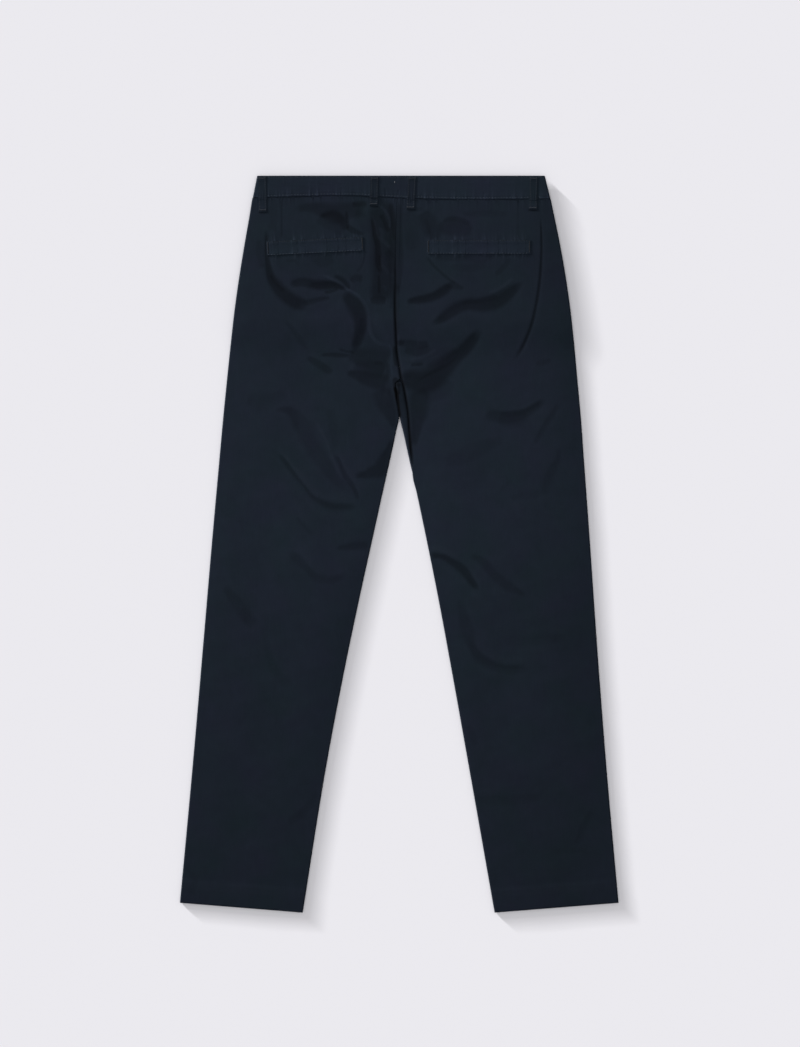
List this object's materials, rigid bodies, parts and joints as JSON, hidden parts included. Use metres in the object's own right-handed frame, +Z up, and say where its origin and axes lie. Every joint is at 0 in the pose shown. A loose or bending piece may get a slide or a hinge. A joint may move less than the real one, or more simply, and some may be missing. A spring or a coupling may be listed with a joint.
{
  "type": "chino trousers",
  "caption": "Slim-leg chino trousers laid flat with the back up: waistband, belt loops, welt pockets at the back, slanted front pockets and a buttoned fly placket.",
  "frame": {"origin": "on the floor under the middle of the garment's box", "axes": "+X to the wearer's right, +Y from the hems to the waist, +Z up, from the front of the garment to its back"},
  "size_m": [0.6254, 1.05, 0.0106],
  "materials": {
    "twill": "dark navy cotton twill, matt with a faint sheen",
    "button": "dark horn-like plastic, half matt",
    "thread": "navy polyester sewing thread, a little lighter than the cloth"
  },
  "bodies": {
    "root": {"back_left": "twill", "back_right": "twill", "front_left": "twill", "front_right": "twill", "waistband_back": "twill", "waistband_front_left": "twill", "waistband_front_right": "twill", "loop_side_left": "twill", "loop_back_left": "twill", "loop_back_right": "twill", "loop_side_right": "twill", "loop_front_left": "twill", "loop_front_right": "twill", "welt_left": "twill", "welt_right": "twill", "pocket_edge_left": "twill", "pocket_edge_right": "twill", "fly": "twill", "button": "button"}
  },
  "joints": []
}
